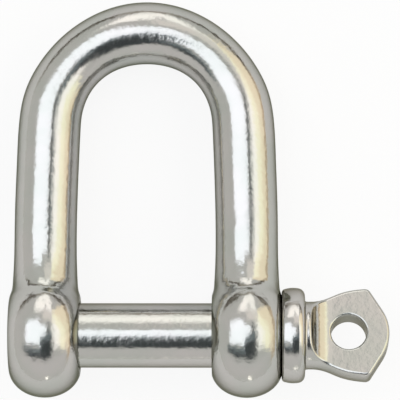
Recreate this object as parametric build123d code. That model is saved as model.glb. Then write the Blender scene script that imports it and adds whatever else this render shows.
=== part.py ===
from build123d import *
import os
from math import asin, cos, degrees, pi, radians, sin, sqrt, tan

# A straight D shackle with a screw pin, nominal size M10, in millimetres.
# The bow is a round bar bent into a D, with a forged eye at the foot of each leg.
# The pin passes through the clear eye, crosses the jaw and ends in the tapped eye.
# It carries its own collar and a flat thumb plate with a hole for the lashing wire.
#
# The origin is on the pin's axis, midway between the eyes. +X runs along the pin
# to its thumb plate, +Y towards the crown and +Z up. The shackle lies on its side:
# it rests on both eyes and on the crown, so the bow dips a little towards the crown.

# Jaw and bow
jaw = 20.5                 # between the flat faces of the eyes
inside_length = 37.5       # from the pin's surface to the inside of the crown
bar_d = 9.7                # the bow's round bar
crown_inside_r = 10.3      # the former that the crown is bent round
shoulder_thinning = 0.06   # share of the bar's width lost at 45 degrees, where bending drew it

# Eyes
eye_d = 19.3               # over the rim
eye_width = 10.8           # along the pin, between the flat faces
seat_land = 0.2            # from the pin's surface to the circle the rim's half ellipse is centred on
rim_fullness = 0.15        # how far that half ellipse would pass each flat face
rim_soften = 0.8           # round between a flat face and the rim
mouth_bevel = 0.35         # bevel at both mouths of each hole

# Where a leg widens into its eye
swell_height = 14.5        # above the pin's axis, where it begins to widen
foot_land = 1.0            # from the pin's surface to the leg's foot, fully inside the eye
foot_shy = 0.2             # how far the foot stays inside both flat faces
rim_shy = 0.86             # how far the foot stays inside the rim's outline
root_round = 4.0           # fillet where it meets the rim
lean_start = 16.0          # above the pin's axis, where a leg begins to lean to the crown's width
lean_power = 1.5           # how gently that lean sets in

# Pin
pin_d = 10.0
thread_shy = 0.05          # how far the thread's crests stay inside the shank's surface
relief_depth = 0.8         # groove between the shank and the thread
relief_width = 1.2
shank_inset = 0.4          # how far the shank itself enters the tapped eye
tip_inset = 0.3            # how far inside the tapped eye the tip ends
tip_bevel = 1.0
collar_d = 14.8
collar_width = 3.6
collar_dome = 0.35         # how much the collar's rim is domed
collar_inner_round = 0.6   # its corner beside the eye
collar_outer_round = 1.2   # its corner beside the neck
neck_d = 10.5
neck_round = 0.35          # hollow corner between the collar and the neck

# Thumb plate: a turned bell, cut to a blunt point and milled flat on both sides.
# Its places are measured from the collar's outer face.
neck_reach = 1.0           # where the bell begins
cheek_reach = 5.2          # a place on the bell
cheek_d = 12.9             # the bell's diameter there
plate_width = 14.6         # the bell's largest diameter
plate_thickness = 4.0
point_reach = 14.25        # where the two straight edges would meet
point_angle = 116.0        # between those edges
point_round = 6.8
corner_round = 1.0         # where they meet the cheeks
edge_round = 0.45          # both faces' edges, all round
flat_reach = 4.2           # where the round neck has run out into the flat plate
wire_hole_d = 5.5
wire_hole_reach = 6.75
wire_hole_round = 0.35
plate_turn = 14.7          # degrees that the plate is turned from the bow, towards the crown

# Clearances between the pin and the holes, all radial
clear_eye_gap = 0.25
tapped_eye_gap = 0.05

# What follows from the sizes above
eye_centre = jaw / 2 + eye_width / 2
eye_outer = jaw / 2 + eye_width
collar_outer = eye_outer + collar_width
crown_centre = pin_d / 2 + inside_length - crown_inside_r
bar_top = pin_d / 2 + inside_length + bar_d / 2
foot_height = pin_d / 2 + foot_land
foot_width = eye_width - 2 * foot_shy
foot_depth = 2 * (sqrt((eye_d / 2) ** 2 - foot_height ** 2) - rim_shy)
rim_centre = pin_d / 2 + seat_land
thread_d = pin_d - 2 * thread_shy
relief_d = pin_d - 2 * relief_depth
scallop_depth = (neck_d - plate_thickness) / 2
lying_angle = degrees(asin((eye_d - bar_d) / 2 / bar_top))


def bar_section(place, along, half_depth, half_width):
    """A section of the bar: half_depth square to the bow's plane, half_width within it."""
    plane = Plane(origin=place, x_dir=(0, 0, -1), z_dir=along)
    if half_depth - half_width < 0.001:
        return plane * Circle(half_width)
    return plane * Ellipse(half_depth, half_width)


def crown_section(angle):
    """A section of the crown, at an angle in degrees from its springing on the +X side."""
    half = bar_d / 2 * (1 - shoulder_thinning * sin(radians(2 * angle)) ** 2)
    reach = crown_inside_r + bar_d / 2
    c, s = cos(radians(angle)), sin(radians(angle))
    return bar_section((reach * c, crown_centre + reach * s, 0), (-s, c, 0), half, half)


def leg_section(side, height):
    """A section of a leg at a height above the pin's axis. The legs stand over the eyes
    at the foot, and lean to the crown's own width at the top."""
    lean = eye_centre - crown_inside_r - bar_d / 2
    rise = max(0.0, (height - lean_start) / (crown_centre - lean_start))
    x = eye_centre - lean * rise**lean_power
    swell = max(0.0, (swell_height - height) / (swell_height - foot_height)) ** 2
    half_width = bar_d / 2 + (foot_width - bar_d) / 2 * swell
    half_depth = bar_d / 2 + (foot_depth - bar_d) / 2 * swell
    return bar_section((side * x, height, 0), (0, side, 0), half_depth, half_width)


def bow():
    """The bent bar, lofted from the foot of one leg round the crown to the other foot. Its
    sections stand about as far apart on the plain stretch of a leg as round the crown."""
    swell_steps, crown_steps = 4, 12
    swell = swell_height - foot_height
    plain = crown_centre - swell_height
    crown_spacing = pi * (crown_inside_r + bar_d / 2) / crown_steps
    leg_steps = max(2, round(plain / crown_spacing))
    heights = [foot_height + swell * i / swell_steps for i in range(swell_steps)]
    heights += [swell_height + plain * i / leg_steps for i in range(leg_steps)]
    sections = [leg_section(1, height) for height in heights]
    sections += [crown_section(180 * i / crown_steps) for i in range(crown_steps + 1)]
    sections += [leg_section(-1, height) for height in reversed(heights)]
    return loft(sections)


def eye_blank(side):
    """A solid eye: two flat faces, with a full rim between them."""
    half = eye_width / 2
    rim = Pos(0, rim_centre, 0) * Ellipse(half + rim_fullness, eye_d / 2 - rim_centre)
    core = Pos(0, rim_centre / 2, 0) * Rectangle(eye_width + 2 * rim_fullness, rim_centre)
    slab = Pos(0, eye_d / 2, 0) * Rectangle(eye_width, eye_d)
    profile = (rim + core) & slab
    corners = [v for v in profile.vertices() if v.Y > rim_centre]
    profile = fillet(corners, rim_soften)
    return Pos(side * eye_centre, 0, 0) * revolve(Rot(180, 0, 0) * profile, Axis.X)


def eye_hole(side, hole_d):
    """What is bored out of an eye, widening at both mouths by their bevel."""
    half, r = eye_width / 2, hole_d / 2
    outline = Polyline(
        (-half - mouth_bevel, 0),
        (-half - mouth_bevel, r + 2 * mouth_bevel),
        (-half + mouth_bevel, r),
        (half - mouth_bevel, r),
        (half + mouth_bevel, r + 2 * mouth_bevel),
        (half + mouth_bevel, 0),
        close=True,
    )
    return Pos(side * eye_centre, 0, 0) * revolve(make_face(outline), Axis.X)


def leg_roots(blank):
    """The two edges round which the legs run into their eyes."""
    return [
        edge
        for edge in blank.edges().filter_by(GeomType.BSPLINE)
        if foot_height < edge.bounding_box().min.Y < edge.bounding_box().max.Y < swell_height
    ]


def shackle_body():
    """The bow and its two eyes, forged as one piece."""
    blank = bow() + eye_blank(1) + eye_blank(-1)
    blank = fillet(leg_roots(blank), root_round)
    clear_hole = eye_hole(1, pin_d + 2 * clear_eye_gap)
    tapped_hole = eye_hole(-1, pin_d + 2 * tapped_eye_gap)
    return blank - clear_hole - tapped_hole


def turned_pin():
    """All that is turned on the pin: tip, thread, relief, shank, collar, neck and bell."""
    tip = tip_inset - eye_outer
    shank = -jaw / 2 - shank_inset
    thread_end = shank - relief_width
    slope = (thread_d - relief_d) / 4
    shoulder = collar_d / 2 - collar_dome
    end = collar_outer + point_reach
    bell = Spline(
        (collar_outer + neck_reach, neck_d / 2),
        (collar_outer + cheek_reach, cheek_d / 2),
        (end, plate_width / 2),
        tangents=[(1, 0), (1, 0)],
    )
    turned = Polyline(
        (end, plate_width / 2),
        (end, 0),
        (tip, 0),
        (tip, thread_d / 2 - tip_bevel),
        (tip + tip_bevel, thread_d / 2),
        (thread_end, thread_d / 2),
        (thread_end + slope, relief_d / 2),
        (shank - slope, relief_d / 2),
        (shank, pin_d / 2),
        (eye_outer, pin_d / 2),
        (eye_outer, shoulder),
    )
    middle = (eye_outer + collar_width / 2, collar_d / 2)
    dome = ThreePointArc((eye_outer, shoulder), middle, (collar_outer, shoulder))
    neck = Polyline(
        (collar_outer, shoulder),
        (collar_outer, neck_d / 2),
        (collar_outer + neck_reach, neck_d / 2),
    )
    profile = make_face(Curve() + [turned, dome, neck, bell])
    for corner, radius in (
        ((eye_outer, shoulder), collar_inner_round),
        ((collar_outer, shoulder), collar_outer_round),
        ((collar_outer, neck_d / 2), neck_round),
    ):
        profile = fillet(profile.vertices().sort_by_distance(corner)[0], radius)
    return revolve(Rot(180, 0, 0) * profile, Axis.X)


def point_outline():
    """The outline that cuts the bell to its blunt point, and leaves the rest of the pin."""
    point = collar_outer + point_reach
    shoulder = point - plate_width / tan(radians(point_angle / 2))
    outline = Polyline(
        (-point, plate_width),
        (shoulder, plate_width),
        (point, 0),
        (shoulder, -plate_width),
        (-point, -plate_width),
        close=True,
    )
    face = make_face(outline)
    face = fillet(face.vertices().sort_by_distance((point, 0))[0], point_round)
    return extrude(face, plate_width, both=True)


def scallops():
    """What is milled from both sides, so that the round neck runs out into the flat plate."""
    flat, end, top = plate_thickness / 2, point_reach, plate_width
    start = flat_reach - scallop_depth
    middle = flat_reach - scallop_depth * sin(radians(45))
    low = flat + scallop_depth * (1 - cos(radians(45)))
    arc = ThreePointArc((start, neck_d / 2), (middle, low), (flat_reach, flat))
    rest = Polyline((flat_reach, flat), (end, flat), (end, top), (start, top), (start, neck_d / 2))
    profile = make_face(Curve() + [arc, rest])
    side = Plane.XZ * profile
    cut = Pos(collar_outer, 0, 0) * extrude(side, plate_width, both=True)
    return cut + mirror(cut, Plane.XY)


def corner_edges(pin):
    """The two short edges between the cheeks and the straight edges."""
    across = pin.edges().filter_by(lambda edge: edge.bounding_box().min.X > collar_outer + flat_reach)
    across = across.filter_by(lambda edge: edge.bounding_box().size.Z > plate_thickness - 0.001)
    return across.sort_by(lambda edge: abs(edge.center().Y))[-2:]


def face_edges(pin):
    """The edges all round both milled faces, their hollows included."""
    raised = pin.edges().filter_by(lambda edge: abs(edge.center().Z) > plate_thickness / 2 - 0.001)
    raised = raised.filter_by(lambda edge: edge.bounding_box().min.X > collar_outer)
    return raised.filter_by(lambda edge: edge.bounding_box().size.X > 0.001)


def screw_pin():
    """The pin, its collar and its thumb plate, made as one piece."""
    pin = (turned_pin() & point_outline()) - scallops()
    pin = fillet(corner_edges(pin), corner_round)
    pin = fillet(face_edges(pin), edge_round)
    hole = Cylinder(wire_hole_d / 2, 2 * plate_thickness)
    pin -= Pos(collar_outer + wire_hole_reach, 0, 0) * hole
    mouths = pin.edges().filter_by(GeomType.CIRCLE).filter_by(
        lambda edge: abs(edge.radius - wire_hole_d / 2) < 0.001
    )
    pin = fillet(mouths, wire_hole_round)
    return Rot(-plate_turn, 0, 0) * pin


def main():
    os.makedirs("parts", exist_ok=True)
    lying = Rot(-lying_angle, 0, 0)
    export_step(lying * shackle_body(), "parts/shackle_body.step")
    export_step(lying * screw_pin(), "parts/screw_pin.step")


main()
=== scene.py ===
"""Studio picture of a polished D shackle. Laid out as an add-on and run as a script."""

from functools import reduce
from math import cos, pi, radians, sin

import bmesh
import bpy
from bpy.props import FloatProperty, FloatVectorProperty, IntProperty, PointerProperty
from bpy.types import Operator, Panel, PropertyGroup
from mathutils import Matrix, Vector


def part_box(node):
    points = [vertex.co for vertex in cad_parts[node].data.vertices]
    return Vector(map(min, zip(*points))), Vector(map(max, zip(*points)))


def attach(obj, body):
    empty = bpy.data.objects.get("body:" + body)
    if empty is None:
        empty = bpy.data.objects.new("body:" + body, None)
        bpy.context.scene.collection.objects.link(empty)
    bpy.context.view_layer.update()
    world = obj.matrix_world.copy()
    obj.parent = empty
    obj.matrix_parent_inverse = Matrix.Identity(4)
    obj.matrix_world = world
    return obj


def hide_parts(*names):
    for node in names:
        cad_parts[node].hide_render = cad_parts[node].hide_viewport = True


bl_info = {
    "name": "D Shackle Studio",
    "version": (1, 0, 0),
    "blender": (4, 5, 0),
    "location": "3D View > Sidebar > Shackle",
    "description": "Polishes a packed D shackle, cuts its thread and sets up its studio",
    "category": "Object",
}

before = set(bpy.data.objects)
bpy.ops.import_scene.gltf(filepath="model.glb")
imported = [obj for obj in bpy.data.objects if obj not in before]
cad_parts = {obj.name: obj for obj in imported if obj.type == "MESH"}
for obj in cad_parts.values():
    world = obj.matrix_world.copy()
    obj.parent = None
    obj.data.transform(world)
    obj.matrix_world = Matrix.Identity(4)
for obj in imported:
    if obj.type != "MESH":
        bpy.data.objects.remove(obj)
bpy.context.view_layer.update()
MM = 0.001

# Corners nearer to each other than this, in metres, are one corner
CAD_WELD = 1e-6
THREAD_WELD = 1e-7

# The corners of one rim lie within this of each other along X
RIM_DEPTH = 0.1 * MM

# Where a face turns from its neighbour by more than this, their edge shows
CREASE = radians(28)

# Polishing lines to the metre along X, Y and Z. A turned piece has them round its axis,
# and the bow along its legs.
TURNED_LINES = (9000, 700, 700)
DRAWN_LINES = (5000, 900, 5000)

# The steel's two tones, as shares of its colour
COOL_TONE = (0.955, 0.975, 0.945)
WARM_TONE = (1.035, 1.012, 1.005)

# How many patches of tone, and how many dull smears, come to one wave of the polish,
# and the values of their noise between which they set in
TONES_PER_WAVE = 0.7
TONE_EDGES = (0.35, 0.65)
SMEARS_PER_WAVE = 2.6
SMEAR_EDGES = (0.48, 0.72)


def length(name, description, millimetres):
    """A size in the row frame, entered here in millimetres."""
    return FloatProperty(
        name=name, description=description, default=millimetres * MM, unit="LENGTH", precision=5
    )


def share(name, description, default):
    """A number from nothing to all."""
    return FloatProperty(
        name=name, description=description, default=default, min=0, max=1, subtype="FACTOR"
    )


def angle(name, description, degrees):
    """An angle, entered here in degrees."""
    return FloatProperty(
        name=name, description=description, default=radians(degrees), subtype="ANGLE"
    )


def arc(name, description, low, high, blur):
    """A stretch between two angles and how soft its ends are, entered here in degrees."""
    degrees = tuple(radians(value) for value in (low, high, blur))
    return FloatVectorProperty(
        name=name, description=description, default=degrees, size=3, unit="ROTATION"
    )


def slope(name, description, start, end):
    """A gradual change between two angles, entered here in degrees."""
    degrees = tuple(radians(value) for value in (start, end))
    return FloatVectorProperty(
        name=name, description=description, default=degrees, size=2, unit="ROTATION"
    )


def reach(name, description, start, end):
    """A gradual change between two parts of a direction of length one."""
    return FloatVectorProperty(name=name, description=description, default=(start, end), size=2)


def colour(name, description, default):
    """A colour, which may be brighter than white where it gives light."""
    return FloatVectorProperty(
        name=name, description=description, default=default, size=3, min=0, max=5, subtype="COLOR"
    )


class ThreadSizes(PropertyGroup):
    """Sizes of the M10 thread on the pin and in the tapped eye."""

    pitch: length("Pitch", "From one crest to the next", 1.5)
    crest_radius: length("Crest radius", "Over the crests of the pin's thread", 4.95)
    root_radius: length("Root radius", "In its roots, and in the relief groove", 4.2)
    tip_radius: length("Tip radius", "Of the pin's flat end, inside its bevel", 3.95)
    tip: length("Tip", "Where the pin's end lies", -20.75)
    relief_start: length("Relief start", "Where the thread has run out", -11.475)
    relief_end: length("Relief end", "Where the groove meets its shoulder", -11.025)
    run_out: FloatProperty(
        name="Run-out", description="How steeply the thread runs out into the groove", default=2.0
    )
    seam: length("Seam", "From the groove's end to where the thread is sewn on", 0.01)
    eye_outer: length("Eye, outside", "Outer face of the tapped eye", -21.05)
    eye_inner: length("Eye, inside", "Inner face of the tapped eye", -10.25)
    mouth_bevel: length("Mouth bevel", "Bevel at both mouths of the tapped hole", 0.35)
    tapped_root_radius: length("Tapped root", "Root radius of the tapped thread", 5.02)
    tapped_crest_radius: length("Tapped crest", "Crest radius of the tapped thread", 4.32)
    rim_sink: length("Rim sink", "How far its two rims are sunk into the eye", 0.15)
    crest_share: share("Crest width", "Share of the half pitch that a crest's flat takes", 0.125)
    flank_share: share("Flank end", "Share of the half pitch at which the root begins", 0.70)
    flank_gap: share("Flank gap", "Gap between the flanks, as a share of the half pitch", 0.09)
    steps_round: IntProperty(name="Steps round", description="Facets in one turn", default=96)
    steps_pitch: IntProperty(name="Steps in a pitch", description="Rows in one pitch", default=16)


class SteelFinish(PropertyGroup):
    """Colour and polish of the stainless steel."""

    body_colour: colour("Bow", "Bow and eyes", (0.505, 0.503, 0.492))
    pin_colour: colour("Pin", "Pin and thumb plate", (0.505, 0.503, 0.492))
    edge_tint: colour("Edge tint", "Light that the bow keeps when grazed", (0.25, 0.255, 0.20))
    pin_edge_tint: colour("Pin edge tint", "The same for the pin", (0.38, 0.37, 0.31))
    roughness: share("Roughness", "Of the polished faces", 0.14)
    smear: share("Smear", "How much rougher the dull smears are", 0.08)
    wave_size: length("Wave size", "From one wave of the hand polish to the next", 5.0)
    wave_height: length("Wave height", "How high these waves stand", 0.022)
    ripple_size: length("Ripple size", "From one fine ripple to the next", 0.85)
    ripple_height: length("Ripple height", "How high the fine ripples stand", 0.032)
    scratch_height: length("Scratch height", "Depth of the fine polishing lines", 0.0004)
    dent_size: length("Dent size", "From one forging dent to the next, at the legs' roots", 3.0)
    dent_height: length("Dent height", "Depth of these dents", 0.28)
    dent_start: length("Dents, from", "Height above the pin's axis at which they begin", 5.6)
    dent_end: length("Dents, to", "Height above the pin's axis at which they end", 9.6)
    dent_blur: length("Dents, blur", "How gradually they begin and end", 1.2)


class StudioSizes(PropertyGroup):
    """Camera, floor, and the colours of the room."""

    camera_height: length("Camera height", "Above the pin's axis", 470)
    camera_x: length("Camera X", "Where the camera stands", 16.2)
    camera_y: length("Camera Y", "Where the camera stands", 21.0)
    aim_x: length("Aim X", "Centre of the picture", 8.4)
    aim_y: length("Aim Y", "Centre of the picture", 21.0)
    picture_width: length("Picture width", "What the picture takes in at the pin's axis", 62.0)
    floor_radius: length("Floor radius", "Of the round floor", 4000)
    floor_colour: colour("Floor", "The pale floor", (0.88, 0.882, 0.885))
    floor_fleck: share("Floor flecks", "How bright its flecks are beside the rest", 0.985)
    floor_glow: share("Floor glow", "How much of its white is its own, to the camera", 0.88)
    steel_glow: share("Glow in the steel", "The same, where the steel mirrors the floor", 0.35)
    room_colour: colour("Room", "Grey walls of the room", (0.85, 0.835, 0.815))
    shaded_room_colour: colour("Shaded room", "The same walls, shaded", (0.695, 0.705, 0.66))
    haze_colour: colour("Haze", "The walls near the floor", (0.80, 0.80, 0.765))
    window_colour: colour("Window", "White window overhead", (1.88, 1.94, 2.05))
    far_window_colour: colour("Far window", "White window low in the room", (1.86, 1.81, 1.72))
    cream_colour: colour("Cream", "Middle of the side window", (1.76, 1.69, 1.29))
    peach_colour: colour("Peach", "Foot of the side window", (1.50, 1.31, 0.98))
    dark_colour: colour("Dark", "Dark, ragged shape beside the window", (0.07, 0.08, 0.085))
    fringe_colour: colour("Fringe", "Upper fringe of that shape", (0.27, 0.32, 0.34))
    blush_colour: colour("Blush", "Warmer wall between the windows", (1.20, 1.14, 1.07))
    lamp_colour: colour("Lamp", "Small lamp low in the room", (3.2, 3.1, 2.8))
    line_colour: colour("Skirting", "Darker strip along the foot of two walls", (0.46, 0.425, 0.36))
    tan_colour: colour("Tan", "That strip, below the side window", (0.80, 0.62, 0.42))
    brown_colour: colour("Brown", "Dark things low in two corners", (0.13, 0.11, 0.085))


class RoomPlan(PropertyGroup):
    """Where things stand in the room. X and Y are angles from straight up towards +X and +Y,
    and a height is an angle above the floor."""

    even_wall: slope("Even wall", "Along Y, up to where the wall has no shading", -52, -40)
    haze: slope("Haze", "Height up to which the walls are hazy", 4, 28)
    blush_x: arc("Blush, X", "The warmer wall", 0.5, 34, 2.5)
    blush_y: arc("Blush, Y", "The warmer wall", 31, 50, 5)
    far_x: arc("Far window, X", "The white window on the +Y side", -30, 37, 5)
    far_y: arc("Far window, Y", "The white window on the +Y side", 50, 80, 9)
    far_head: slope("Far window's head", "Along Y, where it begins at the earliest", 43, 49)
    gap_x: arc("Gap, X", "The wall between its two panes", 4, 12, 2)
    gap_foot: slope("Gap's foot", "Along Y, where the two panes meet", 62, 68)
    side_x: arc("Side window, X", "The tall window on the +X side", 18.5, 120, 3)
    side_y: arc("Side window, Y", "The same, square to its height", -18, 50, 7)
    side_foot: slope("Side window's foot", "Along X, where it ends", 88, 95)
    side_lean: share("Side window's lean", "How far its head leans with Y", 0.4)
    cream: slope("Cream", "Along X, where it turns from white to cream", 38, 56)
    peach: slope("Peach", "Along X, where it turns from cream to peach", 58, 74)
    warm_start: angle("Warm side, from", "Angle past which both colours begin sooner", 10)
    warm_shift: share("Warm side", "How much sooner they begin there", 0.85)
    window_x: arc("Window, X", "The white window overhead", -45, 9, 2)
    window_y: arc("Window, Y", "The white window overhead", -26, 22, 2)
    tall_x: slope("Tall part, X", "Where it becomes its lower part", -14, -4)
    tall_rise: angle("Tall part", "How much farther it goes there towards +Y", 12)
    post_x: arc("Post, X", "The dark post beside the window", 13, 18, 1.5)
    post_y: arc("Post, Y", "The dark post beside the window", -20, 26, 4)
    post_wander: share("Post's edge", "How ragged it is beside the dark shape's", 0.12)
    dark_x: arc("Dark shape, X", "The dark, ragged shape", -55, 28, 6)
    dark_y: arc("Dark shape, Y", "Where it may stand at all", -43, 60, 5)
    dark_depth: arc("Dark shape, depth", "How far it hangs from its upper edge", -90, 0, 4)
    brow_x: slope("Brow, X", "Where its upper edge rises", -7.5, -3)
    brow_y: slope("Brow, Y", "From where to where its upper edge rises", -20, 1.5)
    brow_climb: share("Brow's climb", "How fast its edge goes on rising past 0", 0.4)
    fringe: slope("Fringe", "Depth at which its lighter fringe begins", -16, -5)
    lamp_side: share("Lamp, X", "How far the lamp stands aside", 0.09)
    lamp_y: angle("Lamp, Y", "How low the lamp stands", -84)
    lamp_edge: reach("Lamp's edge", "Where its light ends", 0.04, 0.07)
    skirt_height: arc("Skirting, height", "The strip along the walls' foot", 0, 8, 3)
    skirt_turn: share("Skirting's turn", "How much X counts beside Y in where it starts", 0.6)
    skirt_start: reach("Skirting, from", "Where it starts, round the room", -0.2, 0.3)
    skirt_tan: reach("Tan strip, from", "Along X, where it turns tan", 0.55, 0.85)
    brown_height: arc("Brown things, height", "Dark things low in two corners", -9, 9, 2)
    brown_y: reach("Brown things, Y", "Where they start along Y", 0.2, 0.45)
    brown_start: reach("Brown things, X", "Where they start along X, to both sides", 0.18, 0.38)
    brown_end: reach("Brown things, end", "Where they end along X", 0.7, 0.85)


def node(tree, kind, inputs=None, **settings):
    """Adds a node. Each input is a value, or the socket that feeds it."""
    made = tree.nodes.new(kind)
    for name, value in settings.items():
        setattr(made, name, value)
    for key, value in (inputs or {}).items():
        if isinstance(value, bpy.types.NodeSocket):
            tree.links.new(value, made.inputs[key])
        else:
            made.inputs[key].default_value = value
    return made


def maths(tree, operation, *values):
    """A number worked out from other numbers."""
    return node(tree, "ShaderNodeMath", dict(enumerate(values)), operation=operation).outputs[0]


def total(tree, *values):
    """Several numbers added up."""
    return reduce(lambda first, second: maths(tree, "ADD", first, second), values)


def product(tree, *values):
    """Several numbers multiplied."""
    return reduce(lambda first, second: maths(tree, "MULTIPLY", first, second), values)


def ramp(tree, value, low, high, out_low=0.0, out_high=1.0):
    """Runs smoothly from out_low to out_high as the value goes from low to high."""
    inputs = {"Value": value, "From Min": low, "From Max": high}
    inputs.update({"To Min": out_low, "To Max": out_high})
    made = node(tree, "ShaderNodeMapRange", inputs, interpolation_type="SMOOTHSTEP")
    return made.outputs["Result"]


def band(tree, value, low, high, blur):
    """1 between low and high, with soft edges."""
    rise = ramp(tree, value, low - blur, low + blur)
    fall = ramp(tree, value, high - blur, high + blur, 1.0, 0.0)
    return maths(tree, "MULTIPLY", rise, fall)


def noise(tree, place, scale, detail, roughness=0.5):
    """A smooth random number from 0 to 1 for each place."""
    inputs = {"Vector": place, "Scale": scale, "Detail": detail, "Roughness": roughness}
    return node(tree, "ShaderNodeTexNoise", inputs).outputs["Fac"]


def bump(tree, height, depth, over=None):
    """The surface's direction where it is uneven, on top of what is uneven already."""
    inputs = {"Strength": 1.0, "Distance": depth, "Height": height}
    if over is not None:
        inputs["Normal"] = over
    return node(tree, "ShaderNodeBump", inputs).outputs[0]


def lay_over(tree, under, over, mask):
    """One colour laid over another by a mask. Each colour is three numbers or a socket."""
    mixer = node(tree, "ShaderNodeMix", data_type="RGBA")
    sockets = {socket.identifier: socket for socket in (*mixer.inputs, *mixer.outputs)}
    tree.links.new(mask, sockets["Factor_Float"])
    for key, value in (("A_Color", under), ("B_Color", over)):
        if isinstance(value, bpy.types.NodeSocket):
            tree.links.new(value, sockets[key])
        else:
            sockets[key].default_value = (*value, 1.0)
    return sockets["Result_Color"]


def empty_material(name):
    """A new material with no nodes, and its node tree."""
    material = bpy.data.materials.new(name)
    material.use_nodes = True
    material.node_tree.nodes.clear()
    return material, material.node_tree


def forging_dents(tree, place, finish):
    """Shallow dents that the hammer left where the legs run into the eyes."""
    rough = noise(tree, place, 1 / finish.dent_size, detail=1.0)
    along_leg = node(tree, "ShaderNodeSeparateXYZ", {0: place}).outputs["Y"]
    at_root = band(tree, along_leg, finish.dent_start, finish.dent_end, finish.dent_blur)
    return product(tree, maths(tree, "SUBTRACT", rough, 0.5), at_root)


def steel_tint(tree, place, base, wave_scale):
    """The steel's colour, drifting between a cooler and a warmer tone."""
    cool = [channel * factor for channel, factor in zip(base, COOL_TONE)]
    warm = [channel * factor for channel, factor in zip(base, WARM_TONE)]
    tone = noise(tree, place, TONES_PER_WAVE * wave_scale, detail=3.0)
    return lay_over(tree, cool, warm, ramp(tree, tone, *TONE_EDGES))


def polished_steel(name, base, edge_tint, finish, turned):
    """Hand-polished stainless steel. Turned pieces have their polishing lines round the axis,
    and only the bow has forging dents."""
    material, tree = empty_material(name)
    place = node(tree, "ShaderNodeTexCoord").outputs["Object"]
    wave_scale = 1 / finish.wave_size
    smears = noise(tree, place, SMEARS_PER_WAVE * wave_scale, detail=5.0, roughness=0.62)
    sharpest, dullest = finish.roughness, finish.roughness + finish.smear
    dull = ramp(tree, smears, *SMEAR_EDGES, sharpest, dullest)
    waves = noise(tree, place, wave_scale, detail=2.0, roughness=0.45)
    shape = bump(tree, waves, finish.wave_height)
    ripples = noise(tree, place, 1 / finish.ripple_size, detail=2.0)
    shape = bump(tree, ripples, finish.ripple_height, shape)
    if not turned:
        shape = bump(tree, forging_dents(tree, place, finish), finish.dent_height, shape)
    stretch = TURNED_LINES if turned else DRAWN_LINES
    drawn = node(tree, "ShaderNodeMapping", {"Vector": place, "Scale": stretch}).outputs[0]
    lines = noise(tree, drawn, 1.0, detail=3.0)
    shape = bump(tree, lines, finish.scratch_height, shape)
    tint = steel_tint(tree, place, base, wave_scale)
    steel = {"Base Color": tint, "Metallic": 1.0, "Roughness": dull, "Normal": shape}
    steel["Specular Tint"] = (*edge_tint, 1.0)
    shader = node(tree, "ShaderNodeBsdfPrincipled", steel)
    node(tree, "ShaderNodeOutputMaterial", {"Surface": shader.outputs[0]})
    return material


THREAD_INPUTS = {
    "Pitch": "NodeSocketFloat",
    "Start": "NodeSocketFloat",
    "End": "NodeSocketFloat",
    "Outer Radius": "NodeSocketFloat",
    "Inner Radius": "NodeSocketFloat",
    "Outer Share": "NodeSocketFloat",
    "Inner Share": "NodeSocketFloat",
    "Start Radius": "NodeSocketFloat",
    "Start Slope": "NodeSocketFloat",
    "End Radius": "NodeSocketFloat",
    "End Slope": "NodeSocketFloat",
    "Steps Round": "NodeSocketInt",
    "Rows": "NodeSocketInt",
    "Row Height": "NodeSocketFloat",
    "Inside": "NodeSocketBool",
    "Material": "NodeSocketMaterial",
}
THREAD_TREE = "Shackle thread"
WHOLE_TURNS = 100.0  # added to a number of turns, so that it is never below zero


def thread_radius(tree, given, turn, along):
    """How far the thread stands from its axis, by its turn and its place along the axis.
    Towards both ends it runs out over a cone."""
    turns = maths(tree, "SUBTRACT", maths(tree, "DIVIDE", along, given["Pitch"]), turn)
    phase = maths(tree, "FRACT", maths(tree, "ADD", turns, WHOLE_TURNS))
    from_crest = maths(tree, "ABSOLUTE", maths(tree, "SUBTRACT", phase, 0.5))
    flank = {
        "Value": maths(tree, "MULTIPLY", from_crest, 2.0),
        "From Min": given["Outer Share"],
        "From Max": given["Inner Share"],
        "To Min": given["Outer Radius"],
        "To Max": given["Inner Radius"],
    }
    radius = node(tree, "ShaderNodeMapRange", flank).outputs["Result"]

    def cone(end, distance):
        """The run-out's radius, at a distance from one of the two ends."""
        rise = maths(tree, "MULTIPLY", distance, given[end + " Slope"])
        return maths(tree, "ADD", given[end + " Radius"], rise)

    start_cone = cone("Start", maths(tree, "SUBTRACT", along, given["Start"]))
    end_cone = cone("End", maths(tree, "SUBTRACT", given["End"], along))
    least = maths(tree, "MINIMUM", maths(tree, "MINIMUM", radius, start_cone), end_cone)
    most = maths(tree, "MAXIMUM", maths(tree, "MAXIMUM", radius, start_cone), end_cone)
    choice = {"Switch": given["Inside"], "False": least, "True": most}
    return node(tree, "GeometryNodeSwitch", choice, input_type="FLOAT").outputs[0]


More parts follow.
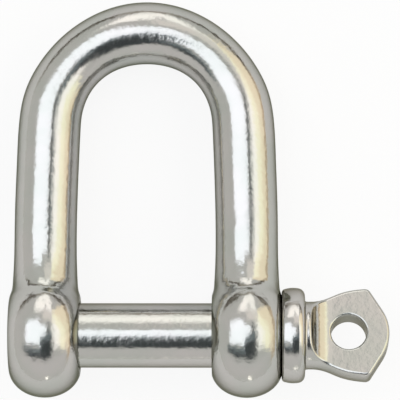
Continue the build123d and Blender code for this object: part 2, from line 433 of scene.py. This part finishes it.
def thread_tree():
    """A right-hand thread about the X axis, as a grid that is wound round it.
    Its rows follow the helix, and both ends are trimmed square."""
    tree = bpy.data.node_groups.new(THREAD_TREE, "GeometryNodeTree")
    for name, kind in THREAD_INPUTS.items():
        tree.interface.new_socket(name=name, in_out="INPUT", socket_type=kind)
    tree.interface.new_socket(name="Geometry", in_out="OUTPUT", socket_type="NodeSocketGeometry")
    given = tree.nodes.new("NodeGroupInput").outputs
    rows_high = maths(tree, "MULTIPLY", given["Rows"], given["Row Height"])
    columns = maths(tree, "ADD", given["Steps Round"], 1)
    lines = maths(tree, "ADD", given["Rows"], 1)
    sizes = {"Size X": 1.0, "Size Y": rows_high, "Vertices X": columns, "Vertices Y": lines}
    sheet = node(tree, "GeometryNodeMeshGrid", sizes).outputs["Mesh"]
    place = node(tree, "GeometryNodeInputPosition").outputs[0]
    flat = node(tree, "ShaderNodeSeparateXYZ", {0: place}).outputs
    # The sheet lies about its middle. The turn runs from 0 to 1 across it, and the row up it.
    turn = maths(tree, "ADD", flat["X"], 0.5)
    row = maths(tree, "ADD", flat["Y"], maths(tree, "MULTIPLY", rows_high, 0.5))
    climb = maths(tree, "MULTIPLY", maths(tree, "SUBTRACT", turn, 1.0), given["Pitch"])
    along = total(tree, given["Start"], climb, row)
    along = maths(tree, "MAXIMUM", along, given["Start"])
    along = maths(tree, "MINIMUM", along, given["End"])
    radius = thread_radius(tree, given, turn, along)
    round_angle = maths(tree, "MULTIPLY", turn, 2 * pi)
    across = maths(tree, "MULTIPLY", radius, maths(tree, "COSINE", round_angle))
    upward = maths(tree, "MULTIPLY", radius, maths(tree, "SINE", round_angle))
    wound = node(tree, "ShaderNodeCombineXYZ", {"X": along, "Y": across, "Z": upward}).outputs[0]
    steps = (
        ("GeometryNodeSetPosition", {"Position": wound}),
        ("GeometryNodeMergeByDistance", {"Distance": THREAD_WELD}),
        ("GeometryNodeRealizeInstances", {}),
        ("GeometryNodeSetMaterial", {"Material": given["Material"]}),
    )
    for kind, inputs in steps:
        sheet = node(tree, kind, {"Geometry": sheet, **inputs}).outputs[0]
    node(tree, "NodeGroupOutput", {"Geometry": sheet})
    return tree


def wound_thread(name, sizes, values, material):
    """The thread as a plain mesh."""
    tree = bpy.data.node_groups.get(THREAD_TREE) or thread_tree()
    blank = bpy.data.objects.new(name, bpy.data.meshes.new(name))
    bpy.context.scene.collection.objects.link(blank)
    modifier = blank.modifiers.new("Thread", "NODES")
    modifier.node_group = tree
    row_height = sizes.pitch / sizes.steps_pitch
    rows = int((values["End"] - values["Start"] + sizes.pitch) / row_height) + 1
    values = {
        **values,
        "Pitch": sizes.pitch,
        "Steps Round": sizes.steps_round,
        "Rows": rows,
        "Row Height": row_height,
        "Material": material,
    }
    identifiers = {item.name: item.identifier for item in tree.interface.items_tree}
    for label in THREAD_INPUTS:
        modifier[identifiers[label]] = values[label]
    depsgraph = bpy.context.evaluated_depsgraph_get()
    depsgraph.update()
    mesh = bpy.data.meshes.new_from_object(blank.evaluated_get(depsgraph))
    bpy.data.objects.remove(blank)
    if len(mesh.polygons) == 0:
        raise RuntimeError(name + ": the thread came out empty")
    return mesh


def merged_copy(source):
    """A CAD mesh with its corners merged, which keeps its normals as a layer."""
    bm = bmesh.new()
    bm.from_mesh(source)
    kept = bm.loops.layers.float_vector.new("cad_normal")
    loops = (loop for face in bm.faces for loop in face.loops)
    for loop, normal in zip(loops, source.corner_normals):
        loop[kept] = normal.vector
    bmesh.ops.remove_doubles(bm, verts=bm.verts, dist=CAD_WELD)
    return bm


def rim_loops(bm):
    """The open edges of a mesh: those of the rim at its -X end, and the others."""
    open_edges = [edge for edge in bm.edges if edge.is_boundary]
    past_rim = min(edge.verts[0].co.x for edge in open_edges) + RIM_DEPTH
    near = [edge for edge in open_edges if edge.verts[0].co.x < past_rim]
    others = [edge for edge in open_edges if edge.verts[0].co.x >= past_rim]
    return near, others


def shade_smooth(bm, edges):
    """Smooth faces all over. Of the given edges, those that turn sharply show."""
    for face in bm.faces:
        face.smooth = True
    for edge in edges:
        if len(edge.link_faces) == 2:
            edge.smooth = edge.calc_face_angle() < CREASE


def sew_on_thread(bm, thread, sizes):
    """Cuts the plain end off the pin and sews the threaded one on in its place."""
    shoulder = sizes.relief_end - sizes.seam
    plain = [face for face in bm.faces if face.calc_center_median().x < shoulder]
    bmesh.ops.delete(bm, geom=plain, context="FACES")
    bm.from_mesh(thread)
    threaded = [vert for vert in bm.verts if vert.co.x < shoulder]
    bmesh.ops.remove_doubles(bm, verts=threaded, dist=THREAD_WELD)
    tip, waist = rim_loops(bm)
    bmesh.ops.bridge_loops(bm, edges=waist)
    bmesh.ops.contextual_create(bm, geom=tip)
    bmesh.ops.recalc_face_normals(bm, faces=bm.faces)
    shade_smooth(bm, [edge for edge in bm.edges if edge.verts[0].co.x < shoulder])


def plain_mesh(bm, name):
    """Ends the work on a mesh and hands it over."""
    mesh = bpy.data.meshes.new(name)
    bm.to_mesh(mesh)
    bm.free()
    return mesh


def finished_piece(name, mesh, material, body):
    """A new piece that rides on a CAD body."""
    mesh.materials.clear()
    mesh.materials.append(material)
    piece = bpy.data.objects.new(name, mesh)
    bpy.context.scene.collection.objects.link(piece)
    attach(piece, body)
    return piece


class SHACKLE_OT_bow(Operator):
    """Polish the bow with its two eyes"""

    bl_idname = "shackle.bow"
    bl_label = "Bow and eyes"

    def execute(self, context):
        finish = context.scene.shackle_finish
        steel = polished_steel(
            "Polished bow steel", finish.body_colour, finish.edge_tint, finish, turned=False
        )
        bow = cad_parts["shackle_body"]
        bow.data.materials.clear()
        bow.data.materials.append(steel)
        return {"FINISHED"}


class SHACKLE_OT_pin(Operator):
    """Make the screw pin with its helical thread"""

    bl_idname = "shackle.pin"
    bl_label = "Screw pin"

    def execute(self, context):
        finish = context.scene.shackle_finish
        sizes = context.scene.shackle_thread
        steel = polished_steel(
            "Polished pin steel", finish.pin_colour, finish.pin_edge_tint, finish, turned=True
        )
        groove_half = (sizes.relief_end - sizes.relief_start) / 2
        outer = {
            "Start": sizes.tip,
            "End": sizes.relief_start + groove_half,
            "Outer Radius": sizes.crest_radius,
            "Inner Radius": sizes.root_radius,
            "Outer Share": sizes.crest_share,
            "Inner Share": sizes.flank_share,
            "Start Radius": sizes.tip_radius,
            "Start Slope": 1.0,
            "End Radius": sizes.root_radius - sizes.run_out * groove_half,
            "End Slope": sizes.run_out,
            "Inside": False,
        }
        thread = wound_thread("Pin thread", sizes, outer, steel)
        bm = merged_copy(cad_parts["screw_pin"].data)
        sew_on_thread(bm, thread, sizes)
        mesh = plain_mesh(bm, "screw_pin_threaded")
        kept = mesh.attributes["cad_normal"].data
        mesh.normals_split_custom_set([tuple(item.vector) for item in kept])
        mesh.attributes.remove(mesh.attributes["cad_normal"])
        pin = finished_piece("screw_pin_threaded", mesh, steel, "pin")
        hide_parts("screw_pin")
        return {"FINISHED"}


class SHACKLE_OT_tapped_thread(Operator):
    """Cut the thread inside the tapped eye"""

    bl_idname = "shackle.tapped_thread"
    bl_label = "Tapped thread"

    def execute(self, context):
        finish = context.scene.shackle_finish
        sizes = context.scene.shackle_thread
        steel = polished_steel(
            "Tapped steel", finish.body_colour, finish.edge_tint, finish, turned=True
        )
        inner = {
            "Start": sizes.eye_outer + sizes.mouth_bevel,
            "End": sizes.eye_inner - sizes.mouth_bevel,
            "Outer Radius": sizes.tapped_root_radius,
            "Inner Radius": sizes.tapped_crest_radius,
            "Outer Share": sizes.crest_share + sizes.flank_gap,
            "Inner Share": sizes.flank_share + sizes.flank_gap,
            "Start Radius": sizes.tapped_root_radius,
            "Start Slope": -1.0,
            "End Radius": sizes.tapped_root_radius,
            "End Slope": -1.0,
            "Inside": True,
        }
        thread = wound_thread("Tapped thread", sizes, inner, steel)
        bm = bmesh.new()
        bm.from_mesh(thread)
        bmesh.ops.remove_doubles(bm, verts=bm.verts, dist=THREAD_WELD)
        sunk = 1 + sizes.rim_sink / sizes.tapped_root_radius
        rims = []
        for loop in rim_loops(bm):
            grown = bmesh.ops.extrude_edge_only(bm, edges=loop)["geom"]
            verts = [item for item in grown if isinstance(item, bmesh.types.BMVert)]
            bmesh.ops.scale(bm, vec=(1.0, sunk, sunk), verts=verts)
            edges = [item for item in grown if isinstance(item, bmesh.types.BMEdge)]
            rims += [edge for edge in edges if edge.is_boundary]
        bmesh.ops.bridge_loops(bm, edges=rims)
        bmesh.ops.recalc_face_normals(bm, faces=bm.faces)
        shade_smooth(bm, bm.edges)
        mesh = plain_mesh(bm, "tapped_thread")
        finished_piece("tapped_thread", mesh, steel, "shackle")
        return {"FINISHED"}


def floor_material(studio):
    """Pale paper, faintly mottled. To the camera, and in the steel, it glows a little, so that
    it looks white and keeps a softened shadow."""
    material, tree = empty_material("Pale paper")
    place = node(tree, "ShaderNodeTexCoord").outputs["Object"]
    grain = noise(tree, place, scale=900.0, detail=4.0)
    fleck = [channel * studio.floor_fleck for channel in studio.floor_colour]
    paper = lay_over(tree, fleck, studio.floor_colour, grain)
    matt = {"Base Color": paper, "Roughness": 0.9, "Specular IOR Level": 0.1}
    shader = node(tree, "ShaderNodeBsdfPrincipled", matt)
    white = {"Color": (1.0, 1.0, 1.0, 1.0), "Strength": 1.0}
    glow = node(tree, "ShaderNodeEmission", white)
    seen = node(tree, "ShaderNodeLightPath").outputs
    mirrored = maths(tree, "MAXIMUM", seen["Is Glossy Ray"], seen["Is Transmission Ray"])
    in_steel = maths(tree, "MULTIPLY", mirrored, studio.steel_glow)
    direct = maths(tree, "MULTIPLY", seen["Is Camera Ray"], studio.floor_glow)
    glowing = maths(tree, "MAXIMUM", in_steel, direct)
    layers = {0: glowing, 1: shader.outputs[0], 2: glow.outputs[0]}
    surface = node(tree, "ShaderNodeMixShader", layers)
    node(tree, "ShaderNodeOutputMaterial", {"Surface": surface.outputs[0]})
    return material


class Room:
    """The room's light by direction, with things laid over one another, the last on top.
    to_x and to_y are the direction's angles from straight up towards +X and +Y."""

    def __init__(self, tree):
        self.tree = tree
        self.way = node(tree, "ShaderNodeTexCoord").outputs["Generated"]
        parts = node(tree, "ShaderNodeSeparateXYZ", {0: self.way}).outputs
        self.x, self.y = parts["X"], parts["Y"]
        self.to_x = maths(tree, "ARCTAN2", parts["X"], parts["Z"])
        self.to_y = maths(tree, "ARCTAN2", parts["Y"], parts["Z"])
        self.height = maths(tree, "ARCSINE", parts["Z"])
        self.sideways = maths(tree, "ARCSINE", parts["Y"])
        self.ragged = self.unevenness(scale=11.0, detail=6.0, roughness=0.72, spread=62)
        self.wavy = self.unevenness(scale=4.0, detail=3.0, roughness=0.5, spread=26)
        self.light = None

    def unevenness(self, scale, detail, roughness, spread):
        """How far an edge wanders, as an angle on either side of zero. The spread is in degrees."""
        grain = noise(self.tree, self.way, scale, detail, roughness)
        return self.times(self.less(grain, 0.5), radians(spread))

    def plus(self, *values):
        """The values added up."""
        return total(self.tree, *values)

    def less(self, value, taken):
        """The value with another taken from it."""
        return maths(self.tree, "SUBTRACT", value, taken)

    def times(self, *values):
        """The values multiplied."""
        return product(self.tree, *values)

    def past_zero(self, value):
        """The value, or zero where it is below zero."""
        return maths(self.tree, "MAXIMUM", value, 0.0)

    def within(self, value, span):
        """1 where the value is within an arc."""
        return band(self.tree, value, *span)

    def after(self, value, change):
        """1 past a change, and 0 before it."""
        return ramp(self.tree, value, *change)

    def before(self, value, change):
        """1 before a change, and 0 past it."""
        return ramp(self.tree, value, *change, 1.0, 0.0)

    def lay(self, over, mask):
        """Lays a colour over all that is there already."""
        self.light = lay_over(self.tree, self.light, over, mask)


def lay_walls(room, plan, studio):
    """Grey walls, shaded in places and hazy near the floor."""
    mottle = noise(room.tree, room.way, scale=3.0, detail=4.0)
    room.light = lay_over(room.tree, studio.shaded_room_colour, studio.room_colour, mottle)
    room.lay(studio.room_colour, room.before(room.to_y, plan.even_wall))
    room.lay(studio.haze_colour, room.before(room.height, plan.haze))


def lay_far_window(room, plan, studio):
    """The warm wall on the +Y side, and below it the far window with its two panes."""
    blush = room.times(room.within(room.to_y, plan.blush_y), room.within(room.to_x, plan.blush_x))
    room.lay(studio.blush_colour, blush)
    gap = room.times(room.within(room.to_x, plan.gap_x), room.before(room.to_y, plan.gap_foot))
    window = room.times(
        room.within(room.plus(room.to_y, room.wavy), plan.far_y),
        room.within(room.plus(room.to_x, room.wavy), plan.far_x),
        room.after(room.to_y, plan.far_head),
        room.less(1.0, gap),
    )
    room.lay(studio.far_window_colour, window)


def lay_side_window(room, plan, studio):
    """The tall window on the +X side: white at its head, then cream, and peach at its foot."""
    slanted = room.less(room.to_x, room.times(room.sideways, plan.side_lean))
    window = room.times(
        room.within(slanted, plan.side_x),
        room.before(room.to_x, plan.side_foot),
        room.within(room.plus(room.sideways, room.wavy), plan.side_y),
    )
    warmer = room.past_zero(room.less(room.sideways, plan.warm_start))
    lower = room.plus(room.to_x, room.times(warmer, plan.warm_shift))
    glass = studio.far_window_colour
    for tone, change in ((studio.cream_colour, plan.cream), (studio.peach_colour, plan.peach)):
        glass = lay_over(room.tree, glass, tone, room.after(lower, change))
    room.lay(glass, window)


def lay_window(room, plan, studio):
    """The white window overhead, taller in its -X part, and the dark post beside it."""
    rise = ramp(room.tree, room.to_x, *plan.tall_x, plan.tall_rise, 0.0)
    raised = room.less(room.to_y, rise)
    window = room.times(room.within(room.to_x, plan.window_x), room.within(raised, plan.window_y))
    room.lay(studio.window_colour, window)
    wander = room.plus(room.to_x, room.times(room.ragged, plan.post_wander))
    post = room.times(room.within(wander, plan.post_x), room.within(room.to_y, plan.post_y))
    room.lay(studio.dark_colour, post)


def lay_dark_shape(room, plan, studio):
    """The dark, ragged shape below the window, with a lighter fringe along its upper edge."""
    brow = ramp(room.tree, room.to_x, *plan.brow_x, *plan.brow_y)
    climb = room.times(room.past_zero(room.to_x), plan.brow_climb)
    depth = room.plus(room.less(room.to_y, room.plus(brow, climb)), room.ragged)
    shape = room.times(
        room.within(depth, plan.dark_depth),
        room.within(room.to_x, plan.dark_x),
        room.within(room.plus(room.to_y, room.wavy), plan.dark_y),
    )
    fringe = room.after(depth, plan.fringe)
    gloom = lay_over(room.tree, studio.dark_colour, studio.fringe_colour, fringe)
    room.lay(gloom, shape)


def lay_lamp(room, plan, studio):
    """The small lamp, low on the -Y side."""
    place = (plan.lamp_side, sin(plan.lamp_y), cos(plan.lamp_y))
    apart = node(
        room.tree, "ShaderNodeVectorMath", {0: room.way, 1: place}, operation="DISTANCE"
    ).outputs["Value"]
    room.lay(studio.lamp_colour, room.before(apart, plan.lamp_edge))


def lay_foot_of_walls(room, plan, studio):
    """The darker strip along the walls' foot, tan on the +X side, and brown things before it."""
    along_walls = room.plus(room.y, room.times(room.x, plan.skirt_turn))
    strip = room.times(
        room.within(room.height, plan.skirt_height), room.after(along_walls, plan.skirt_start)
    )
    tan_side = room.after(room.x, plan.skirt_tan)
    paint = lay_over(room.tree, studio.line_colour, studio.tan_colour, tan_side)
    room.lay(paint, strip)
    outline = room.unevenness(scale=7.0, detail=4.0, roughness=0.6, spread=40)
    aside = maths(room.tree, "ABSOLUTE", room.x)
    things = room.times(
        room.within(room.plus(room.height, outline), plan.brown_height),
        room.after(room.y, plan.brown_y),
        room.after(aside, plan.brown_start),
        room.before(aside, plan.brown_end),
    )
    room.lay(studio.brown_colour, things)


def studio_room(plan, studio):
    """The room that the steel mirrors and that lights it: grey walls, three windows, a dark
    ragged shape, a small lamp, and darker things along the walls' foot."""
    world = bpy.data.worlds.new("Studio room")
    world.use_nodes = True
    tree = world.node_tree
    tree.nodes.clear()
    room = Room(tree)
    lay_walls(room, plan, studio)
    lay_far_window(room, plan, studio)
    lay_side_window(room, plan, studio)
    lay_window(room, plan, studio)
    lay_dark_shape(room, plan, studio)
    lay_lamp(room, plan, studio)
    lay_foot_of_walls(room, plan, studio)
    background = node(tree, "ShaderNodeBackground", {"Color": room.light, "Strength": 1.0})
    node(tree, "ShaderNodeOutputWorld", {"Surface": background.outputs[0]})
    return world


def round_floor(studio, level):
    """The floor that the shackle lies on."""
    bm = bmesh.new()
    bmesh.ops.create_circle(bm, cap_ends=True, segments=128, radius=studio.floor_radius)
    bmesh.ops.translate(bm, verts=bm.verts, vec=(0, 0, level))
    floor = bpy.data.objects.new("floor", plain_mesh(bm, "floor"))
    floor.data.materials.append(floor_material(studio))
    return floor


def aimed_camera(studio):
    """A camera that looks down on the shackle, with +Y up in its picture."""
    lens = bpy.data.cameras.new("Camera")
    camera = bpy.data.objects.new("Camera", lens)
    camera.location = (studio.camera_x, studio.camera_y, studio.camera_height)
    sight = Vector((studio.aim_x, studio.aim_y, 0)) - camera.location
    back = -sight.normalized()
    right = Vector((0, 1, 0)).cross(back).normalized()
    camera.rotation_euler = Matrix((right, back.cross(right), back)).transposed().to_euler()
    lens.sensor_width = 36
    lens.lens = lens.sensor_width * sight.length / studio.picture_width
    lens.clip_start = 0.01
    lens.clip_end = 100
    return camera


class SHACKLE_OT_studio(Operator):
    """Lay the floor, light the room and set up the camera"""

    bl_idname = "shackle.studio"
    bl_label = "Studio"

    def execute(self, context):
        scene = context.scene
        studio = scene.shackle_studio
        floor = round_floor(studio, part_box("shackle_body")[0].z)
        scene.collection.objects.link(floor)
        scene.world = studio_room(scene.shackle_room, studio)
        camera = aimed_camera(studio)
        scene.collection.objects.link(camera)
        scene.camera = camera
        scene.view_settings.view_transform = "Standard"
        return {"FINISHED"}


class SHACKLE_PT_panel(Panel):
    """Lists the pieces and their sizes"""

    bl_idname = "SHACKLE_PT_panel"
    bl_label = "D shackle"
    bl_space_type = "VIEW_3D"
    bl_region_type = "UI"
    bl_category = "Shackle"

    def draw(self, context):
        for operator in OPERATORS:
            self.layout.operator(operator.bl_idname)
        for group in GROUPS:
            values = getattr(context.scene, group)
            box = self.layout.box()
            for name in values.bl_rna.properties.keys():
                if name not in {"rna_type", "name"}:
                    box.prop(values, name)


GROUPS = {
    "shackle_thread": ThreadSizes,
    "shackle_finish": SteelFinish,
    "shackle_studio": StudioSizes,
    "shackle_room": RoomPlan,
}
OPERATORS = (SHACKLE_OT_bow, SHACKLE_OT_pin, SHACKLE_OT_tapped_thread, SHACKLE_OT_studio)
CLASSES = (*GROUPS.values(), *OPERATORS, SHACKLE_PT_panel)


def register():
    for cls in CLASSES:
        bpy.utils.register_class(cls)
    for name, group in GROUPS.items():
        setattr(bpy.types.Scene, name, PointerProperty(type=group))


def unregister():
    for name in GROUPS:
        delattr(bpy.types.Scene, name)
    for cls in reversed(CLASSES):
        bpy.utils.unregister_class(cls)


def main():
    register()
    bpy.ops.shackle.bow()
    bpy.ops.shackle.pin()
    bpy.ops.shackle.tapped_thread()
    bpy.ops.shackle.studio()


if __name__ == "__main__":
    main()
